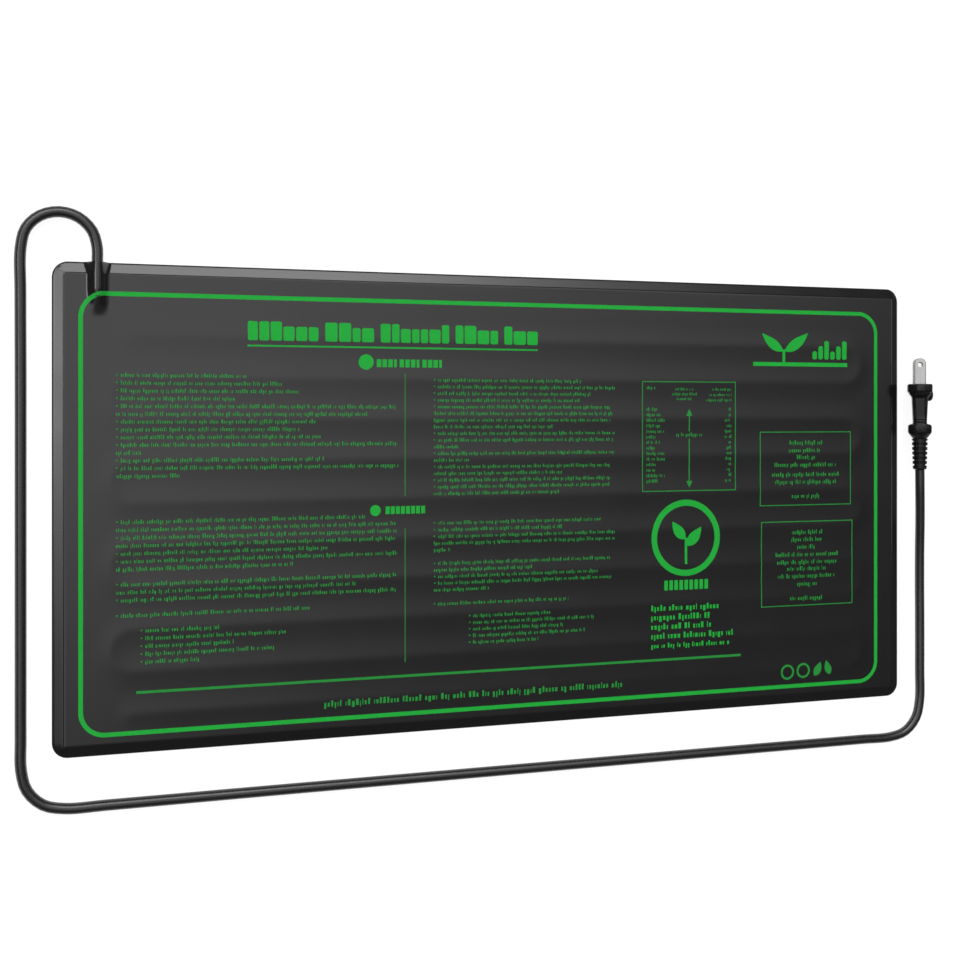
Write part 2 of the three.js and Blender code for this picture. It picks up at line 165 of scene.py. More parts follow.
class Look:
    """A node material: a Principled surface whose colour, roughness and relief vary."""

    def __init__(self, name, color, roughness, metallic=0.0, specular=0.5):
        self.material = bpy.data.materials.new(name)
        self.material.use_nodes = True
        self.nodes = self.material.node_tree.nodes
        self.links = self.material.node_tree.links
        self.surface = self.nodes["Principled BSDF"]
        self.color = color
        self.surface.inputs["Base Color"].default_value = (*color, 1)
        self.surface.inputs["Roughness"].default_value = roughness
        self.surface.inputs["Metallic"].default_value = metallic
        self.surface.inputs["Specular IOR Level"].default_value = specular
        self.place = self.nodes.new("ShaderNodeTexCoord").outputs["Object"]
        self.relief = None

    def noise(self, scale, detail=3.0, stretch=(1, 1, 1)):
        placed = self.nodes.new("ShaderNodeMapping")
        placed.inputs["Scale"].default_value = stretch
        self.links.new(self.place, placed.inputs["Vector"])
        noise = self.nodes.new("ShaderNodeTexNoise")
        noise.inputs["Scale"].default_value = scale
        noise.inputs["Detail"].default_value = detail
        self.links.new(placed.outputs["Vector"], noise.inputs["Vector"])
        return noise.outputs["Fac"]

    def cells(self, scale, stretch=(1, 1, 1)):
        placed = self.nodes.new("ShaderNodeMapping")
        placed.inputs["Scale"].default_value = stretch
        self.links.new(self.place, placed.inputs["Vector"])
        cells = self.nodes.new("ShaderNodeTexVoronoi")
        cells.inputs["Scale"].default_value = scale
        self.links.new(placed.outputs["Vector"], cells.inputs["Vector"])
        return cells.outputs["Distance"]

    def spread(self, factor, low, high, start=0.3, end=0.7):
        mapped = self.nodes.new("ShaderNodeMapRange")
        self.links.new(factor, mapped.inputs["Value"])
        mapped.inputs["From Min"].default_value = start
        mapped.inputs["From Max"].default_value = end
        mapped.inputs["To Min"].default_value = low
        mapped.inputs["To Max"].default_value = high
        return mapped.outputs["Result"]

    def tint(self, factor, dark, light):
        mix = self.nodes.new("ShaderNodeMix")
        mix.data_type = "RGBA"
        self.links.new(factor, mix.inputs["Factor"])
        mix.inputs[6].default_value = (*[v * dark for v in self.color], 1)
        mix.inputs[7].default_value = (*[min(v * light, 1) for v in self.color], 1)
        self.links.new(mix.outputs[2], self.surface.inputs["Base Color"])
        return self

    def rough(self, factor, low, high):
        self.links.new(self.spread(factor, low, high), self.surface.inputs["Roughness"])
        return self

    def bump(self, factor, height):
        bump = self.nodes.new("ShaderNodeBump")
        bump.inputs["Distance"].default_value = height
        self.links.new(factor, bump.inputs["Height"])
        if self.relief:
            self.links.new(self.relief, bump.inputs["Normal"])
        self.relief = bump.outputs["Normal"]
        self.links.new(self.relief, self.surface.inputs["Normal"])
        return self


def film_look(name, color, low, high, grain, specular=0.5):
    look = Look(name, color, low, specular=specular)
    look.tint(look.noise(60), 0.85, 1.2)
    look.rough(look.noise(35, 4), low, high)
    look.bump(look.noise(900, 2), grain)
    return look.material


def rubber_look(name, color, low, high, specular=0.5):
    look = Look(name, color, low, specular=specular)
    look.tint(look.noise(250), 0.8, 1.25)
    look.rough(look.noise(180), low, high)
    look.bump(look.noise(900, 2), 0.000002)
    return look.material


def ink_look(name, color):
    look = Look(name, color, 0.5, specular=0.15)
    look.tint(look.noise(700, 4), 0.86, 1.1)
    look.rough(look.noise(300), 0.42, 0.6)
    look.bump(look.noise(3000, 2), 0.000006)
    return look.material


def metal_look(name, color, low, high, stretch=(1, 1, 1)):
    look = Look(name, color, low, metallic=1.0)
    look.tint(look.noise(200), 0.9, 1.05)
    look.rough(look.noise(900, 4, stretch), low, high)
    look.bump(look.noise(1600, 3, stretch), 0.000006)
    return look.material


def fibre_look(name, color):
    look = Look(name, color, 0.9)
    look.tint(look.noise(500, 6), 0.75, 1.1)
    look.rough(look.noise(300), 0.85, 1.0)
    look.bump(look.noise(1400, 6, (1, 3, 1)), 0.00008)
    return look.material


def foam_look(name, color):
    look = Look(name, color, 0.85)
    look.tint(look.cells(700), 0.7, 1.1)
    look.rough(look.noise(300), 0.8, 0.95)
    look.bump(look.cells(700), 0.0001)
    return look.material


# --- The film -----------------------------------------------------------------------------

RIM = ((0, 0), (1.1, 0), (2.0, 0), (2.1, -0.04), (2.55, -0.4), (2.65, -0.43))
RIM_SLOPE_END = (7.1, 1.45)
RIM_EDGE = ((7.35, 1.33), (7.75, 1.1), (8.0, 0.85))


def smooth_step(t):
    t = np.clip(t, 0, 1)
    return t * t * (3 - 2 * t)


def wire_distance(x, y):
    """How far a point of the face is from the heating wire's middle line."""
    place = (FIRST_RUN_Y - y) / RUN_PITCH
    run = np.clip(np.round(place), 0, RUN_COUNT - 1)
    past = np.maximum(np.abs(x) - RUN_HALF_LENGTH, 0)
    nearest = np.hypot(past, (place - run) * RUN_PITCH)
    first = np.where(x > 0, 0, 1)  # bends on the right join runs 0 and 1, on the left 1 and 2
    last = np.where(x > 0, RUN_COUNT - 2, RUN_COUNT - 3)
    bend = np.clip(first + 2 * np.round((place - 0.5 - first) / 2), first, last)
    out = np.hypot(past, (place - bend - 0.5) * RUN_PITCH)
    return np.where(past > 0, np.minimum(nearest, np.abs(out - RUN_PITCH / 2)), nearest)


def face_height(x, y):
    """The film lies on the wire's runs and sags a little between them."""
    away = np.hypot(wire_distance(x, y), RIDGE_SOFTNESS) - RIDGE_SOFTNESS
    hollow = 1 - (1 - np.clip(2 * away / RUN_PITCH, 0, 1)) ** 2
    waves = np.sin(x / 31 + 0.6 * np.sin(y / 47)) * np.sin(y / 26 + x / 160)
    return RIDGE_HEIGHT - SAG * hollow + 0.02 * waves


def rim_height(out):
    """Height of the film at a distance outside the flat part of the face."""
    level = RIDGE_HEIGHT - SAG
    steps = [(r, level + dz) for r, dz in RIM] + [RIM_SLOPE_END, *RIM_EDGE]
    return float(np.interp(out, [r for r, _ in steps], [z for _, z in steps]))


def film_height(x, y, rim=None):
    """Height of the film's upper side over the base: on the face, or from the rim's height."""
    x, y = np.asarray(x, float), np.asarray(y, float)
    height = face_height(x, y) if rim is None else np.full_like(x, rim)
    half = BLISTER_HALF_WIDTH + BLISTER_FLARE * smooth_step((y - HALF_WIDTH) / CORNER_RADIUS + 1)
    bump = (0.5 + 0.5 * np.cos(math.pi * np.clip(np.abs(x - INLET_X) / half, 0, 1))) ** 0.9
    bump = bump * smooth_step((y - BLISTER_END_Y) / (BLISTER_FULL_Y - BLISTER_END_Y))
    return height + (BLISTER_HEIGHT - height) * bump


def film_lines():
    """Where the film's grid lines are: close together over bends, ridges and the blister."""
    core = HALF_LENGTH - CORNER_RADIUS
    straight = RUN_HALF_LENGTH - 10
    xs = [*np.arange(-core, -straight, 1.6), *np.linspace(-straight, straight, 75)]
    xs += [*np.arange(straight + 1.6, core, 1.6)]
    reach = BLISTER_HALF_WIDTH + BLISTER_FLARE
    xs += [core, *np.arange(INLET_X - reach - 0.4, INLET_X + reach + 0.5, 0.4)]
    rows = RUN_PITCH / 16
    top = HALF_WIDTH - CORNER_RADIUS
    ys = [FIRST_RUN_Y - rows * k for k in range(-22, 154)]
    ys = [y for y in ys if abs(y) < top - 0.3]
    ys += [-top, *np.arange(BLISTER_END_Y - 1, top, 0.6), top]
    return thinned(xs), thinned(ys)


def thinned(values, least=0.25):
    kept = []
    for value in sorted(values):
        if not kept or value - kept[-1] > least:
            kept.append(value)
    kept[-1] = max(values)
    return kept


def outline_steps(xs, ys, corner_steps=10):
    """The grid's outer vertices in order, each with the direction in which the rim leaves it."""
    nx, ny = len(xs), len(ys)
    sides = (
        ([(i, 0) for i in range(nx)], -90),
        ([(nx - 1, j) for j in range(ny)], 0),
        ([(i, ny - 1) for i in reversed(range(nx))], 90),
        ([(0, j) for j in reversed(range(ny))], 180),
    )
    steps = []
    for cells, degrees in sides:
        steps += [(cell, degrees) for cell in cells]
        steps += [(cells[-1], degrees + 90 * k / corner_steps) for k in range(1, corner_steps)]
    return steps


def film_foot(x, y, top):
    """Lower edge of the film's outer wall: arched over the cord, elsewhere on the bottom film."""
    away = np.abs(x - INLET_X)
    arch = INLET_HEIGHT + np.sqrt(np.maximum((CORD_RADIUS + 0.08) ** 2 - away**2, 0))
    mouth = (away < CORD_RADIUS + 0.08) & (y > 0)
    return np.where(mouth, np.minimum(arch, top - 0.1), FILM_FOOT)


def make_film(look):
    xs, ys = film_lines()
    nx, ny = len(xs), len(ys)
    gx, gy = np.meshgrid(xs, ys)
    points = list(zip(gx.ravel(), gy.ravel(), film_height(gx, gy).ravel()))
    faces = []
    for j in range(ny - 1):
        for i in range(nx - 1):
            a = j * nx + i
            faces.append((a, a + 1, a + nx + 1, a + nx))
    steps = outline_steps(xs, ys)
    inner = [j * nx + i for (i, j), _ in steps]
    base = np.array([(xs[i], ys[j]) for (i, j), _ in steps])
    angles = np.radians([degrees for _, degrees in steps])
    outward = np.stack([np.cos(angles), np.sin(angles)], 1)
    square = 1 / np.abs(outward).max(1)  # the crease's corners are sharp, the outer ones round
    slope = np.linspace(RIM[-1][0], RIM_SLOPE_END[0], 9)[1:]
    radii = [r for r, _ in RIM[1:]] + list(slope) + [r for r, _ in RIM_EDGE]
    for radius in [*radii, None]:
        out = radius or CORNER_RADIUS
        sharp = np.interp(out, [RIM[-1][0], RIM_SLOPE_END[0]], [0.85, 0])
        ring = base + outward * (out * (1 + sharp * (square - 1)))[:, None]
        z = film_height(ring[:, 0], ring[:, 1], rim_height(out))
        if radius is None:
            z = film_foot(ring[:, 0], ring[:, 1], z)
        start = len(points)
        points += list(zip(ring[:, 0], ring[:, 1], z))
        outer = list(range(start, len(points)))
        for k in range(len(steps)):
            n = (k + 1) % len(steps)
            corners = (outer[k], outer[n], inner[n], inner[k])
            faces.append(corners if inner[n] != inner[k] else corners[:3])
        inner = outer
    film = mesh_object("top_film", points, faces, 75)
    thick = film.modifiers.new("thickness", "SOLIDIFY")
    thick.thickness = FILM_THICKNESS * MM
    thick.offset = -1
    return finish_piece(film, look, "film_top", "top_cover", "cord_entry_blister")


# --- The print ----------------------------------------------------------------------------


class Print:
    """Ink shapes that lie on the film, gathered into one piece."""

    def __init__(self):
        self.points = []
        self.faces = []

    def strip(self, path, halves, columns=1):
        """A closed ribbon of ink along path, with its half width at each point."""
        path = np.asarray(path, float)
        halves = np.broadcast_to(np.asarray(halves, float), len(path))
        along = np.gradient(path, axis=0)
        along /= np.linalg.norm(along, axis=1)[:, None]
        side = np.stack([-along[:, 1], along[:, 0]], 1) * halves[:, None]
        shares = np.linspace(-1, 1, columns + 1)
        rows = path[:, None, :] + side[:, None, :] * shares[None, :, None]
        low = film_height(rows[..., 0], rows[..., 1])
        start = len(self.points)
        order = [(-0.03, e) for e in range(columns + 1)]
        order += [(INK, e) for e in reversed(range(columns + 1))]
        count = len(order)
        for row, heights in zip(rows, low):
            for dz, e in order:
                self.points.append((*row[e], heights[e] + dz))
        for k in range(len(path) - 1):
            a, b = start + count * k, start + count * (k + 1)
            for i in range(count):
                j = (i + 1) % count
                self.faces.append((a + i, a + j, b + j, b + i))
        last = start + count * (len(path) - 1)
        self.faces.append(tuple(reversed(range(start, start + count))))
        self.faces.append(tuple(range(last, last + count)))

    def bar(self, x0, y0, x1, y1):
        """An upright rectangle from corner to corner, in steps short enough for the ridges."""
        if x1 - x0 >= y1 - y0:
            count = max(2, int((x1 - x0) / 6) + 1)
            middle = (y0 + y1) / 2
            path = [(x, middle) for x in np.linspace(x0, x1, count)]
            self.strip(path, (y1 - y0) / 2)
        else:
            count = max(2, int((y1 - y0) / 1.4) + 1)
            middle = (x0 + x1) / 2
            path = [(middle, y) for y in np.linspace(y0, y1, count)]
            self.strip(path, (x1 - x0) / 2)

    def soft_block(self, x0, y0, x1, y1, radius):
        """An upright block with round corners."""
        half = (x1 - x0) / 2
        radius = min(radius, half)
        turn = np.linspace(0, math.pi / 2, 5)
        ends = [(radius * (1 - math.cos(a)), half - radius * (1 - math.sin(a))) for a in turn]
        middle = np.linspace(y0 + radius, y1 - radius, max(2, int((y1 - y0) / 1.4)))
        rows = [(y0 + d, h) for d, h in ends[:-1]] + [(y, half) for y in middle]
        rows += [(y1 - d, h) for d, h in reversed(ends[:-1])]
        self.strip([((x0 + x1) / 2, y) for y, _ in rows], [max(h, 0.05) for _, h in rows])

    def disc(self, x, y, radius):
        turn = np.linspace(0.06, math.pi - 0.06, 22)
        path = [(x, y - radius * math.cos(a)) for a in turn]
        self.strip(path, [radius * math.sin(a) for a in turn])

    def ring(self, x, y, radius, stroke, sides=72):
        turn = np.linspace(0, 2 * math.pi, sides + 1)
        middle = radius - stroke / 2
        path = [(x + middle * math.cos(a), y + middle * math.sin(a)) for a in turn]
        half = len(path) // 2
        self.strip(path[: half + 1], stroke / 2)
        self.strip(path[half:], stroke / 2)

    def leaf(self, x, y, length, width, degrees):
        """A pointed leaf from its stalk end, bent a little upwards."""
        t = np.linspace(0, 1, 18)
        a = math.radians(degrees)
        side = 1 if math.cos(a) > 0 else -1
        path = [
            (
                x + length * s * math.cos(a) - side * 0.12 * length * s * s * math.sin(a),
                y + length * s * math.sin(a) + 0.18 * length * s * s,
            )
            for s in t
        ]
        self.strip(path, np.maximum(width / 2 * np.sin(math.pi * t**0.85) ** 0.9, 0.06))

    def frame(self, x0, y0, x1, y1, stroke):
        for bar in (
            (x0, y0, x1, y0 + stroke),
            (x0, y1 - stroke, x1, y1),
            (x0, y0 + stroke, x0 + stroke, y1 - stroke),
            (x1 - stroke, y0 + stroke, x1, y1 - stroke),
        ):
            self.bar(*bar)

    def words(self, x, end, y, size, rng, boldness=0.6):
        """A line of word shapes without letters: rows of small blocks, from x to end."""
        while x < end:
            for _ in range(rng.randint(2, 8)):
                width = size * rng.choice((0.2, 0.34, 0.46, 0.46, 0.6)) * boldness
                kind = rng.random()
                low = y - (0.28 * size if kind < 0.12 else 0)
                high = y + (size if kind > 0.74 else 0.68 * size)
                if x + width > end:
                    return
                self.bar(x, low, x + width, high)
                x += width + 0.24 * size
            x += 0.45 * size

    def centred_words(self, x, width, y, size, rng):
        self.words(x - width / 2, x + width / 2, y, size, rng)

    def piece(self, name, look):
        shape = mesh_object(name, self.points, self.faces, 30)
        return finish_piece(shape, look, "print_green")


def round_rectangle(x0, y0, x1, y1, radius):
    """A closed line from the middle of the lower side, counterclockwise."""
    centres = ((x1, y0, -90), (x1, y1, 0), (x0, y1, 90), (x0, y0, 180))
    signs = ((-1, 1), (-1, -1), (1, -1), (1, 1))
    corners = []
    for (x, y, start), (sx, sy) in zip(centres, signs):
        angles = np.radians(np.linspace(start, start + 90, 31))
        middle = (x + sx * radius, y + sy * radius)
        corners.append(
            [(middle[0] + radius * math.cos(a), middle[1] + radius * math.sin(a)) for a in angles]
        )
    line = [((x0 + x1) / 2, y0)]
    for corner in [*corners, [line[0]]]:
        here, there = np.array(line[-1]), np.array(corner[0])
        count = int(np.linalg.norm(there - here) / 0.8)
        line += [tuple(here + (there - here) * k / count) for k in range(1, count)]
        line += corner
    return line


def print_border(look):
    ink = Print()
    line = round_rectangle(-240, -116, 236.3, 110.9, 12.3)
    half = len(line) // 2
    ink.strip(line[: half + 1], 1.15, 4)
    ink.strip(line[half:], 1.15, 4)
    ink.piece("print_border", look)


def print_title(look, rng):
    """A heading of bold word shapes, underlined, with a row of small ones below it."""
    ink = Print()
    words = (
        (-154.3, -116.2, 6),
        (-112.4, -85.2, 4),
        (-81.4, -42, 7),
        (-38.2, -13.1, 4),
        (-9.3, 10.9, 3),
    )
    for start, end, count in words:
        shares = [rng.choice((0.75, 1, 1.15)) for _ in range(count)]
        unit = (end - start - 0.8 * (count - 1)) / sum(shares)
        x = start
        for k, share in enumerate(shares):
            width = share * unit
            high = 98.4 if k == 0 or rng.random() < 0.25 else 95.8
            ink.soft_block(x, 88.2, x + width, high, 1)
            x += width + 0.8
    ink.bar(-154.5, 84.9, 11, 85.8)
    ink.disc(-89.6, 77.4, 4.2)
    for k in range(12):
        ink.bar(-83.6 + 3.25 * k, 74.7, -81.1 + 3.25 * k - (0.9 if k % 4 == 3 else 0), 79)
    ink.disc(-84.4, -3.8, 3)
    for k in range(8):
        ink.bar(-78.6 + 2.9 * k, -5.9, -76.3 + 2.9 * k, -1.7)
    ink.piece("print_headings", look)


def text_block(ink, rng, top, pitch, size, left, bullets, ends):
    """Lines down from top; a line in bullets starts with a dot, the others are flush."""
    for k, end in enumerate(ends):
        y = top - pitch * k - size / 2
        if k in bullets:
            ink.bar(left, y + 0.35 * size, left + 0.75, y + 0.35 * size + 0.75)
        ink.words(left + (2.4 if k in bullets else 0), end, y, size, rng)


def print_columns(look, rng):
    ink = Print()
    size = 2.15
    ends = (-155, -136, -125, -160, -72, -89, -116, -126, -114, -72, -208, -113, -71, -190)
    text_block(ink, rng, 69.2, 4.02, size, -222.4, (0, 1, 2, 3, 4, 6, 7, 8, 9, 11, 12), ends)
    ends = (-90, -72, -72, -72, -110, -72, -130)
    text_block(ink, rng, -6.8, 4.07, size, -222.4, (0, 2, 4, 5), ends)
    text_block(ink, rng, -39, 4.07, size, -222.4, (0, 2), (-72, -95, -72))
    text_block(ink, rng, -55.1, 4, size, -222.4, (0,), (-120,))
    text_block(ink, rng, -63.2, 4.05, size, -210, range(5), (-169, -134, -161, -139, -178))
    ink.piece("print_left_column", look)

    ink = Print()
    size = 1.95
    starts = (0, 1, 2, 3, 4, 8, 9, 11, 13, 15, 16)
    ends = (38, 59, 44, 37, 56, 58, 57, 20, 60, 58, -36, 59, -30, 57, 26, 56, 56, 25)
    text_block(ink, rng, 68, 3.71, size, -50.9, starts, ends)
    text_block(ink, rng, -11.4, 3.75, size, -50.9, (0, 1, 2), (51, 27, 59, 59, -40))
    text_block(ink, rng, -33.8, 3.68, size, -50.9, (0, 2, 3), (56, 8, 50, 58, -18))
    text_block(ink, rng, -56.3, 3.7, size, -50.9, (0,), (30,))
    text_block(ink, rng, -63.8, 3.7, size, -30.3, range(5), (20, 46, 28, 40, 12))
    ink.piece("print_right_column", look)


def print_rules(look, rng):
    ink = Print()
    ink.bar(-67.7, 3.8, -67.3, 71.6)
    ink.bar(-67.7, -87.6, -67.3, -13.8)
    ink.bar(-212.2, -95.9, 141.5, -94.5)
    ink.words(-113, 64.6, -109.3, 3.3, rng, 0.75)
    ink.piece("print_rules", look)


def print_table(look, rng):
    """A framed table: three headings, a column of names, an arrow and a column of figures."""
    ink = Print()
    ink.frame(76.4, 3.5, 138.2, 68.3, 0.55)
    ink.words(79.4, 85.5, 63.6, 1.9, rng)
    for k, width in enumerate((12, 16, 10)):
        ink.centred_words(104, width, 63 - 2.9 * k, 1.6, rng)
    for k, width in enumerate((13, 15, 17)):
        ink.words(135.5 - width, 135.5, 63 - 3.2 * k, 1.6, rng)
    for k in range(14):
        y = 51 - 3.24 * k
        ink.words(79.2, 79.2 + rng.choice((6, 7.5, 9, 12)), y, 1.9, rng)
        ink.words(135.3 - rng.choice((1.8, 3.2, 4.4)), 135.4, y, 1.9, rng)
    ink.bar(106.8, 38.9, 107.5, 49)
    ink.bar(106.8, 8.5, 107.5, 34.6)
    ink.strip([(107.15, 48), (107.15, 50), (107.15, 51.8)], [2, 1.05, 0.08])
    ink.strip([(107.15, 5.7), (107.15, 7.5), (107.15, 9.5)], [0.08, 1.05, 2])
    ink.centred_words(107.2, 17, 35.9, 2.1, rng)
    ink.piece("print_table", look)


def print_marks(look, rng):
    """Plain signs of growth: two leaves over a ground line, and a ring with a seedling."""
    ink = Print()
    ink.bar(170.2, 80.5, 172, 88.2)
    ink.leaf(171.6, 87.2, 19, 6.4, 24)
    ink.leaf(170.6, 87.2, 17, 6, 154)
    ink.bar(150, 78, 215.7, 80.4)
    for k in range(6):
        ink.soft_block(191 + 4.2 * k, 82.4, 194.2 + 4.2 * k, 87.4 + 3.2 * (k % 3), 1.3)
    ink.ring(105, -24.0, 22.5, 3.6)
    ink.bar(104.2, -39.5, 105.8, -24)
    ink.leaf(105.3, -28.5, 13.5, 6.8, 38)
    ink.leaf(104.7, -24.6, 12.5, 6.4, 140)
    for k in range(9):
        ink.soft_block(90.8 + 3.3 * k, -54.6, 93.2 + 3.3 * k, -48.8, 0.5)
    for k, end in enumerate((126.5, 121.5, 122.5, 137.5, 135)):
        ink.words(82.3, end, -66.4 - 5.45 * k, 3.4 if k < 4 else 2.8, rng, 0.8)
    ink.piece("print_marks", look)


def print_labels(look, rng):
    ink = Print()
    ink.frame(154.6, -6.5, 218.3, 38.4, 0.55)
    ink.frame(155.4, -67.5, 219.4, -16, 0.55)
    upper = (30.5, 25.9, 21.7, 17.1, 11.2, 6.7, -1.9)
    for y, width in zip(upper, (23, 24, 13, 44, 47, 43, 20)):
        ink.centred_words(186.6, width, y, 2.5, rng)
    lower = (-23.9, -28.3, -32.8, -37.4, -42, -46, -50.5, -55.3, -64)
    for y, width in zip(lower, (21, 22, 14, 44, 42, 28, 41, 14, 24)):
        ink.centred_words(187.4, width, y, 2.5, rng)
    ink.ring(173.5, -107.4, 4.6, 1.3, 36)
    ink.ring(184.5, -107, 4.6, 1.3, 36)
    ink.leaf(192.3, -110.6, 8.5, 5, 52)
    ink.leaf(203.5, -110.2, 8, 4.6, 118)
    ink.piece("print_labels", look)


def make_print():
    rng = random.Random(12)
    bright = ink_look("green_ink_bold", (0.017, 0.46, 0.05))
    fine = ink_look("green_ink_fine", (0.023, 0.31, 0.048))
    print_border(bright)
    print_title(bright, rng)
    print_columns(fine, rng)
    print_rules(fine, rng)
    print_table(fine, rng)
    print_marks(bright, rng)
    print_labels(fine, rng)


# --- The cord -----------------------------------------------------------------------------

CORD_ROUTE = [
    (-0.2317, 0.112, 0.0036),
    (-0.2317, 0.121, 0.0036),
    (-0.2317, 0.128, 0.0034),
    (-0.2317, 0.134, 0.00305),
    (-0.2342, 0.1429, 0.00295),
    (-0.2411, 0.1496, 0.00295),
    (-0.2505, 0.152, 0.00295),
    (-0.2598, 0.1496, 0.00295),
    (-0.2667, 0.1429, 0.00295),
    (-0.2692, 0.133, 0.00295),
    (-0.2693, 0.11, 0.00295),
    (-0.2692, 0.07, 0.00295),
    (-0.2692, 0.02, 0.00295),
    (-0.2692, -0.03, 0.00295),
    (-0.2692, -0.08, 0.00295),
    (-0.2692, -0.115, 0.00295),
    (-0.269, -0.131, 0.00295),
    (-0.2662, -0.1415, 0.00295),
    (-0.2585, -0.1493, 0.00295),
    (-0.248, -0.1521, 0.00295),
    (-0.225, -0.1522, 0.00295),
    (-0.15, -0.1521, 0.00295),
    (-0.06, -0.1521, 0.00295),
    (0.06, -0.1521, 0.00295),
    (0.15, -0.1521, 0.00295),
    (0.225, -0.1522, 0.00295),
    (0.248, -0.1521, 0.00295),
    (0.2585, -0.1493, 0.00295),
    (0.2662, -0.1415, 0.00295),
    (0.269, -0.131, 0.00295),
    (0.2692, -0.11, 0.00295),
    (0.2692, -0.078, 0.00295),
    (0.2689, -0.058, 0.0032),
    (0.268, -0.038, 0.0045),
    (0.2662, -0.016, 0.0074),
    (0.2643, 0.002, 0.0099),
    (0.2635, 0.0144, 0.01082),
]


def smooth_line(route, step=0.003):
    """A centripetal curve through the route's points."""
    knots = [Vector(p) for p in route]
    knots = [2 * knots[0] - knots[1], *knots, 2 * knots[-1] - knots[-2]]
    line = []
    for k in range(1, len(knots) - 2):
        p = knots[k - 1 : k + 3]
        t = [0.0]
        for i in range(3):
            t.append(t[-1] + math.sqrt((p[i + 1] - p[i]).length))
        count = max(2, int((p[2] - p[1]).length / step))
        for n in range(count):
            u = t[1] + (t[2] - t[1]) * n / count
            a = [p[i].lerp(p[i + 1], (u - t[i]) / (t[i + 1] - t[i])) for i in range(3)]
            b = [a[i].lerp(a[i + 1], (u - t[i]) / (t[i + 2] - t[i])) for i in range(2)]
            line.append(b[0].lerp(b[1], (u - t[1]) / (t[2] - t[1])))
    return [*line, knots[-2]]


def make_cord(look):
    line = smooth_line(CORD_ROUTE)
    curve = bpy.data.curves.new("cord", "CURVE")
    curve.dimensions = "3D"
    curve.bevel_depth = CORD_RADIUS * MM
    curve.bevel_resolution = 6
    curve.use_fill_caps = True
    spline = curve.splines.new("POLY")
    spline.points.add(len(line) - 1)
    spline.points.foreach_set("co", [v for p in line for v in (*p, 1)])
    spline.use_smooth = True
    cord = bpy.data.objects.new("cord", curve)
    bpy.context.scene.collection.objects.link(cord)
    return finish_piece(cord, look, "cord_jacket", "power_cord")


# --- The plug -----------------------------------------------------------------------------


def plug_place():
    turn = Matrix.Rotation(-PLUG_ROLL, 4, "Y")
    return Matrix.Translation(Vector((PLUG_X, PLUG_REAR_Y, PLUG_HEIGHT)) * MM) @ turn


def plug_section(across, along, cut_across, cut_along, rounding, count=128):
    """Points round an eight-sided section with rounded corners, evenly spaced."""
    flat_across, flat_along = across * (1 - cut_across), along * (1 - cut_along)
    quarter = [(across, flat_along), (flat_across, along)]
    corners = quarter + [(-x, z) for x, z in reversed(quarter)]
    corners += [(-x, -z) for x, z in corners]
    corners = [Vector(c) for c in corners]
    line = []
    for k, corner in enumerate(corners):
        before, after = corners[k - 1], corners[(k + 1) % 8]
        reach = min(rounding, (before - corner).length / 2, (after - corner).length / 2)
        start = corner + (before - corner).normalized() * reach
        end = corner + (after - corner).normalized() * reach
        for t in np.linspace(0, 1, 5):
            line.append(start.lerp(corner, t).lerp(corner.lerp(end, t), t))
    line.append(line[0])
    line = np.array(line)
    walked = np.concatenate([[0], np.cumsum(np.linalg.norm(np.diff(line, axis=0), axis=1))])
    places = np.linspace(0, walked[-1], count, endpoint=False)
    return np.stack([np.interp(places, walked, line[:, i]) for i in range(2)], 1)


# Along the body from its rear: half sizes across and along, corner cuts, corner rounding.
PLUG_STATIONS = (
    (0, 4.0, 4.6, 0.6, 0.4, 1.5),
    (0.5, 4.4, 5.0, 0.6, 0.4, 1.5),
    (1.2, 4.9, 5.6, 0.6, 0.4, 1.5),
    (3.4, 6.6, 8.1, 0.55, 0.35, 1.5),
    (4.3, 7.0, 8.5, 0.55, 0.33, 1.5),
    (7.7, 7.0, 8.6, 0.55, 0.33, 1.5),
    (8.4, 6.8, 8.5, 0.55, 0.33, 1.5),
    (8.9, 6.2, 8.4, 0.5, 0.3, 1.5),
    (9.2, 5.2, 8.2, 0.45, 0.25, 1.3),
    (9.4, 4.4, 8.1, 0.4, 0.2, 1.1),
    (9.9, 4.05, 8.1, 0.35, 0.18, 1),
    (25.3, 4.75, 8.8, 0.35, 0.18, 1),
    (26.2, 5.05, 9.2, 0.4, 0.2, 1),
    (27.6, 6.1, 10.2, 0.55, 0.25, 1),
    (28, 6.3, 10.4, 0.58, 0.27, 0.9),
    (28.5, 6.35, 10.5, 0.6, 0.27, 0.9),
    (28.8, 6.8, 10.9, 0.65, 0.29, 0.9),
    (29.4, 7.2, 11.4, 0.69, 0.3, 0.9),
    (30, 7.3, 11.5, 0.7, 0.3, 0.9),
    (33.1, 7.3, 11.5, 0.7, 0.3, 0.9),
    (33.7, 7.1, 11.3, 0.7, 0.3, 0.9),
    (34, 6.7, 10.9, 0.7, 0.3, 0.9),
)


def grip_relief(x, y, z):
    """How far the neck's two wide faces are sunk: a panel with two small bars behind it."""
    neck = smooth_step((np.abs(z) - 6.8) / 0.8)
    panel = smooth_step((3.1 - np.abs(x)) / 0.5) * neck
    sunk = smooth_step((y - 13.2) / 0.5) * smooth_step((26.6 - y) / 0.6)
    bars = sum(smooth_step(1 - np.abs(y - place) / 0.55) for place in (10.9, 12.3))
    return 0.75 * panel * sunk - 0.3 * panel * bars


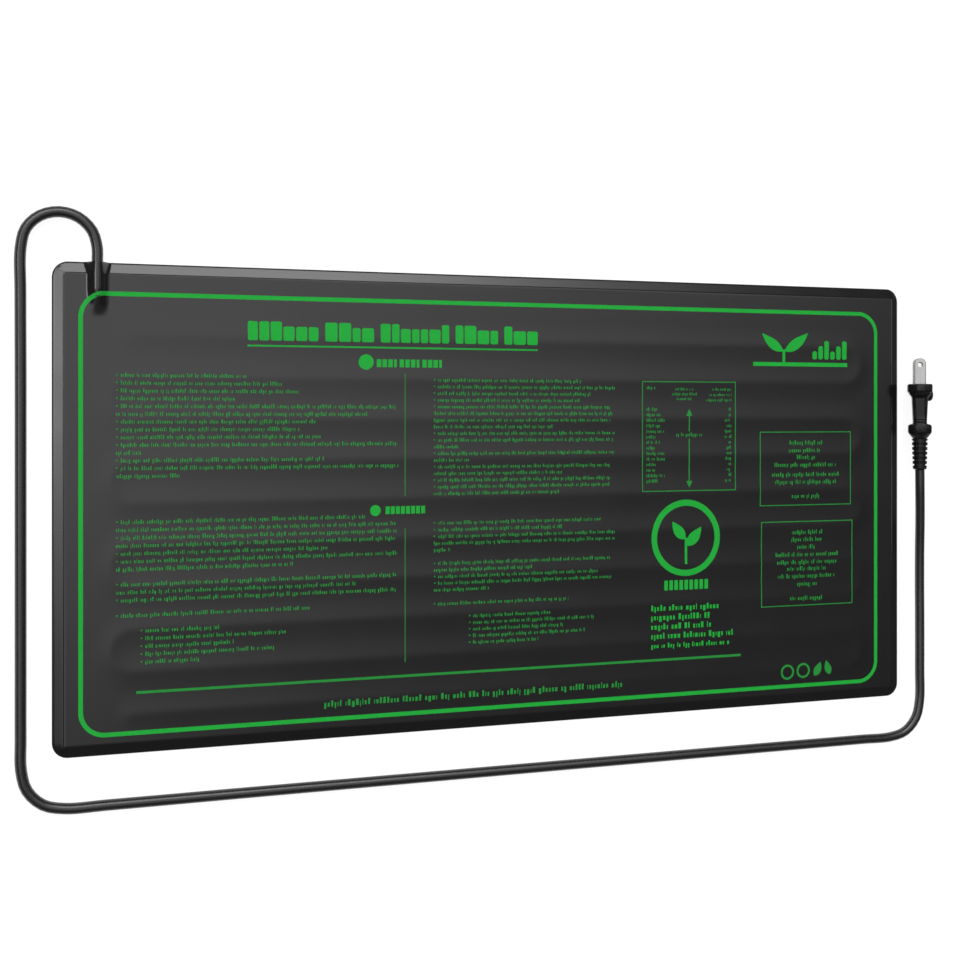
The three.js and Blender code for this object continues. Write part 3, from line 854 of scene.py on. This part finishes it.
def make_plug_body(look):
    table = np.array(PLUG_STATIONS)
    ys = thinned([*table[:, 0], *np.arange(10, 28, 0.3)], 0.08)
    rings = []
    for y in ys:
        sizes = [np.interp(y, table[:, 0], table[:, k]) for k in range(1, 6)]
        section = plug_section(*sizes)
        x, z = section[:, 0], section[:, 1]
        z = z - np.sign(z) * grip_relief(x, np.full_like(x, y), z)
        rings.append([(px, y, pz) for px, pz in zip(x, z)])
    face = plug_section(5.5, 8.5, 0.12, 0.08, 0.6)
    rings.append([(px, BODY_LENGTH, pz) for px, pz in face])
    rings.append([(px, BODY_LENGTH - 3.9, pz) for px, pz in face])
    points, faces = loft([ring[::-1] for ring in rings])
    body = mesh_object("plug_moulding", points, faces, 32)
    body.matrix_world = plug_place()
    return finish_piece(body, look, "plug_moulding", "plug_body")


def make_finger_stop(look):
    """The small rounded ear beside the plug's front flange."""
    rings = []
    for t in np.linspace(0, math.pi, 15):
        y = 27.4 - 3.9 * math.cos(t)
        size = max(math.sin(t), 0.05) ** 0.7
        turn = np.linspace(0, 2 * math.pi, 24, endpoint=False)
        rings.append(
            [(5.3 + 2.9 * size * math.cos(a), y, -3 + 3.4 * size * math.sin(a)) for a in turn]
        )
    points, faces = loft([ring[::-1] for ring in rings])
    ear = mesh_object("plug_finger_stop", points, faces, 60)
    ear.matrix_world = plug_place()
    return finish_piece(ear, look, "plug_moulding")


def make_strain_relief(look):
    """A tapered sleeve with slots that lie in turn on its sides and on its top and bottom."""
    ys = np.linspace(-RELIEF_LENGTH, 0, 150)
    turn = np.linspace(0, 2 * math.pi, 72, endpoint=False)
    rings = []
    for y in ys:
        back = -y / RELIEF_LENGTH
        radius = 4.85 - 0.65 * back
        radius -= 0.5 * smooth_step((back - 0.965) / 0.035)
        slot = (-y - 1.6) / 1.45
        number = int(np.clip(round(slot), 0, 10))
        depth = float(smooth_step(1.9 - 4.2 * abs(slot - number)))
        sector = np.abs(np.cos(turn + (math.pi / 2 if number % 2 else 0)))
        radii = radius - 0.85 * depth * smooth_step((sector - 0.42) / 0.16)
        rings.append([(r * math.cos(a), y, r * math.sin(a)) for r, a in zip(radii, turn)])
    for y in (0, -RELIEF_LENGTH):
        rings.append([(3 * math.cos(a), y, 3 * math.sin(a)) for a in turn])
    points, faces = loft([ring[::-1] for ring in rings], False, False)
    count, last = len(turn), (len(rings) - 1) * len(turn)
    for i in range(count):
        j = (i + 1) % count
        faces.append((last + i, last + j, j, i))
    sleeve = mesh_object("strain_relief", points, faces, 50)
    sleeve.matrix_world = plug_place()
    return finish_piece(sleeve, look, "plug_moulding", "plug_strain_relief")


def blade_outline(half, tip, back, corner):
    """A blade's outline, from its back end round its tip, whose two corners are rounded."""
    turn = np.linspace(0, math.pi / 2, 9)
    x, y = half - corner, tip - corner
    right = [(half, back), *[(x + corner * math.cos(a), y + corner * math.sin(a)) for a in turn]]
    return right + [(-x, y) for x, y in reversed(right)]


def make_blade(name, node, side, look):
    """A plated blade with softened edges, a rounded tip and its locking hole."""
    half = BLADE_WIDTHS[node] / 2
    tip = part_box(node)[1].y / MM - PLUG_REAR_Y
    curve = bpy.data.curves.new(name, "CURVE")
    curve.dimensions = "2D"
    curve.fill_mode = "BOTH"
    soft = 0.22
    curve.bevel_depth = soft * MM
    curve.bevel_resolution = 3
    curve.extrude = (BLADE_THICKNESS / 2 - soft) * MM
    centre = tip - BLADE_HOLE_TO_TIP
    hole = [
        (BLADE_HOLE_RADIUS * math.cos(a), centre + BLADE_HOLE_RADIUS * math.sin(a))
        for a in np.linspace(0, 2 * math.pi, 32, endpoint=False)
    ]
    outline = blade_outline(half - soft, tip - soft, BODY_LENGTH - 3.3, 2.5)
    for line in (outline, hole):
        spline = curve.splines.new("POLY")
        spline.points.add(len(line) - 1)
        spline.points.foreach_set("co", [v for x, y in line for v in (x * MM, y * MM, 0, 1)])
        spline.use_cyclic_u = True
    drawn = bpy.data.objects.new(name + "_drawn", curve)
    bpy.context.scene.collection.objects.link(drawn)
    evaluated = drawn.evaluated_get(bpy.context.evaluated_depsgraph_get())
    shape = bpy.data.meshes.new_from_object(evaluated)
    bpy.data.objects.remove(drawn)
    blade = bpy.data.objects.new(name, shape)
    bpy.context.scene.collection.objects.link(blade)
    blade.matrix_world = plug_place() @ Matrix.Translation((0, 0, side * BLADE_SPACING / 2 * MM))
    return finish_piece(blade, look, "blade", node)


# --- Light and floor ----------------------------------------------------------------------

FLOOR_SIZE = 80  # metres, so that its edge stays close to the horizon
BOX_STRENGTH = 3.9


def make_floor():
    """A pale floor that glows a little, so that its shadows stay faint."""
    bpy.ops.mesh.primitive_plane_add(size=FLOOR_SIZE)
    floor = bpy.context.object
    floor.name = "floor"
    look = Look("studio_floor", (0.16, 0.16, 0.16), 0.9, specular=0.0)
    look.surface.inputs["Emission Color"].default_value = (1, 1, 1, 1)
    look.surface.inputs["Emission Strength"].default_value = 0.92
    floor.data.materials.append(look.material)


class Sky:
    """The studio round the mat, as brightness by direction."""

    def __init__(self):
        world = bpy.data.worlds.new("studio")
        bpy.context.scene.world = world
        world.use_nodes = True
        self.nodes = world.node_tree.nodes
        self.links = world.node_tree.links
        self.background = self.nodes["Background"]
        coordinates = self.nodes.new("ShaderNodeTexCoord")
        self.direction = coordinates.outputs["Generated"]

    def math(self, operation, a, b):
        node = self.nodes.new("ShaderNodeMath")
        node.operation = operation
        for socket, value in zip(node.inputs, (a, b)):
            if isinstance(value, (int, float)):
                socket.default_value = value
            else:
                self.links.new(value, socket)
        return node.outputs[0]

    def product(self, first, *others):
        for other in others:
            first = self.math("MULTIPLY", first, other)
        return first

    def towards(self, vector):
        node = self.nodes.new("ShaderNodeVectorMath")
        node.operation = "DOT_PRODUCT"
        self.links.new(self.direction, node.inputs[0])
        node.inputs[1].default_value = vector
        return node.outputs["Value"]

    def fall(self, value, dark, bright):
        """0 where value is at dark or past it, 1 at bright, straight between them."""
        return self.ramp(value, dark, bright, kind="LINEAR")

    def ramp(self, value, start, end, low=0.0, high=1.0, kind="SMOOTHSTEP"):
        node = self.nodes.new("ShaderNodeMapRange")
        node.interpolation_type = kind
        self.links.new(value, node.inputs["Value"])
        node.inputs["From Min"].default_value = start
        node.inputs["From Max"].default_value = end
        node.inputs["To Min"].default_value = low
        node.inputs["To Max"].default_value = high
        return node.outputs["Result"]


def make_sky():
    """A soft ceiling, a box behind the mat, one on its left, a little fill and a pale horizon."""
    sky = Sky()
    up = sky.towards((0, 0, 1))
    right = sky.towards((1, 0, 0))
    back = sky.towards((0, 1, 0))
    slant = sky.towards((-0.503, 0.865, 0))
    ceiling = sky.product(sky.ramp(slant, -0.36, 0.02, 0.1, 1.05), sky.ramp(up, 0.75, 0.82))
    fade_right = sky.math("POWER", sky.fall(right, 0.58, 0.26), 2)
    fade_front = sky.math("POWER", sky.fall(back, -0.18, 0.01), 2)
    behind = sky.product(sky.ramp(back, 0.4, 0.5), fade_right, sky.ramp(up, 0.52, 0.58))
    beside = sky.product(
        sky.ramp(right, -0.63, -0.53, 1, 0), fade_front, sky.ramp(up, 0.6, 0.68)
    )
    low = sky.ramp(up, 0.8, 0.88, BOX_STRENGTH, 0)
    boxes = sky.product(sky.math("MAXIMUM", behind, beside), low)
    aside = sky.math("ABSOLUTE", right, 0)
    fill = sky.product(
        sky.ramp(aside, 0.62, 0.75), sky.ramp(up, 0.5, 0.62), sky.ramp(back, -0.1, 0.05), 0.6
    )
    light = sky.ramp(up, 0.01, 0.07, 0.5, 0.0)
    for part in (ceiling, boxes, fill, 0.1):
        light = sky.math("ADD", light, part)
    sky.links.new(light, sky.background.inputs["Strength"])
    sky.background.inputs["Color"].default_value = (1, 1, 1, 1)
    bpy.context.scene.view_settings.view_transform = "Standard"


# --- Everything ---------------------------------------------------------------------------


def dress_inner_nodes():
    """CAD pieces that stay as they are get their finished materials."""
    looks = {
        "bottom_cover": film_look("vinyl_underside", (0.013, 0.013, 0.014), 0.42, 0.55, 0.00004),
        "insulation_foam": foam_look("foam", (0.5, 0.51, 0.52)),
        "reflector_foil": metal_look("foil", (0.8, 0.81, 0.82), 0.22, 0.4),
        "wire_backing_sheet": fibre_look("backing", (0.78, 0.76, 0.72)),
        "heating_wire": rubber_look("wire_insulation", (0.3, 0.03, 0.02), 0.4, 0.55),
        "plug_bridge": rubber_look("plug_insert", (0.03, 0.03, 0.032), 0.35, 0.5),
    }
    core_white = rubber_look("core_white", (0.7, 0.68, 0.64), 0.4, 0.55)
    core_black = rubber_look("core_black", (0.015, 0.015, 0.015), 0.4, 0.55)
    sleeve = rubber_look("heat_shrink", (0.02, 0.02, 0.02), 0.5, 0.7)
    crimp = metal_look("crimp_metal", (0.62, 0.5, 0.32), 0.3, 0.5)
    for node in ("return_lead", "supply_lead_neutral", "plug_lead_neutral"):
        looks[node] = core_white
    for node in ("supply_lead_line", "plug_lead_line"):
        looks[node] = core_black
    for node in ("cord_anchor", "splice_sleeve_line", "splice_sleeve_neutral"):
        looks[node] = sleeve
    for node in ("splice_crimp_line", "splice_crimp_neutral"):
        looks[node] = crimp
    for node, look in looks.items():
        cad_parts[node].data.materials.clear()
        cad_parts[node].data.materials.append(look)


def main():
    make_camera()
    moulded = rubber_look("moulded_vinyl", (0.006, 0.006, 0.0062), 0.28, 0.42, 0.3)
    cord = make_cord(rubber_look("cord_jacket", (0.0095, 0.0095, 0.011), 0.24, 0.32, 0.75))
    plated = metal_look("plated_blade", (0.33, 0.33, 0.328), 0.18, 0.3, (1, 0.05, 1))
    plug = [
        make_plug_body(moulded),
        make_finger_stop(moulded),
        make_strain_relief(moulded),
        make_blade("line_blade", "blade_line", 1, plated),
        make_blade("neutral_blade", "blade_neutral", -1, plated),
    ]
    plug += [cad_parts[n] for n in ("plug_bridge", "plug_lead_line", "plug_lead_neutral")]
    make_film(film_look("black_vinyl", (0.0065, 0.0065, 0.007), 0.14, 0.19, 0.000008, 0.7))
    make_print()
    dress_inner_nodes()
    make_floor()
    make_sky()


main()
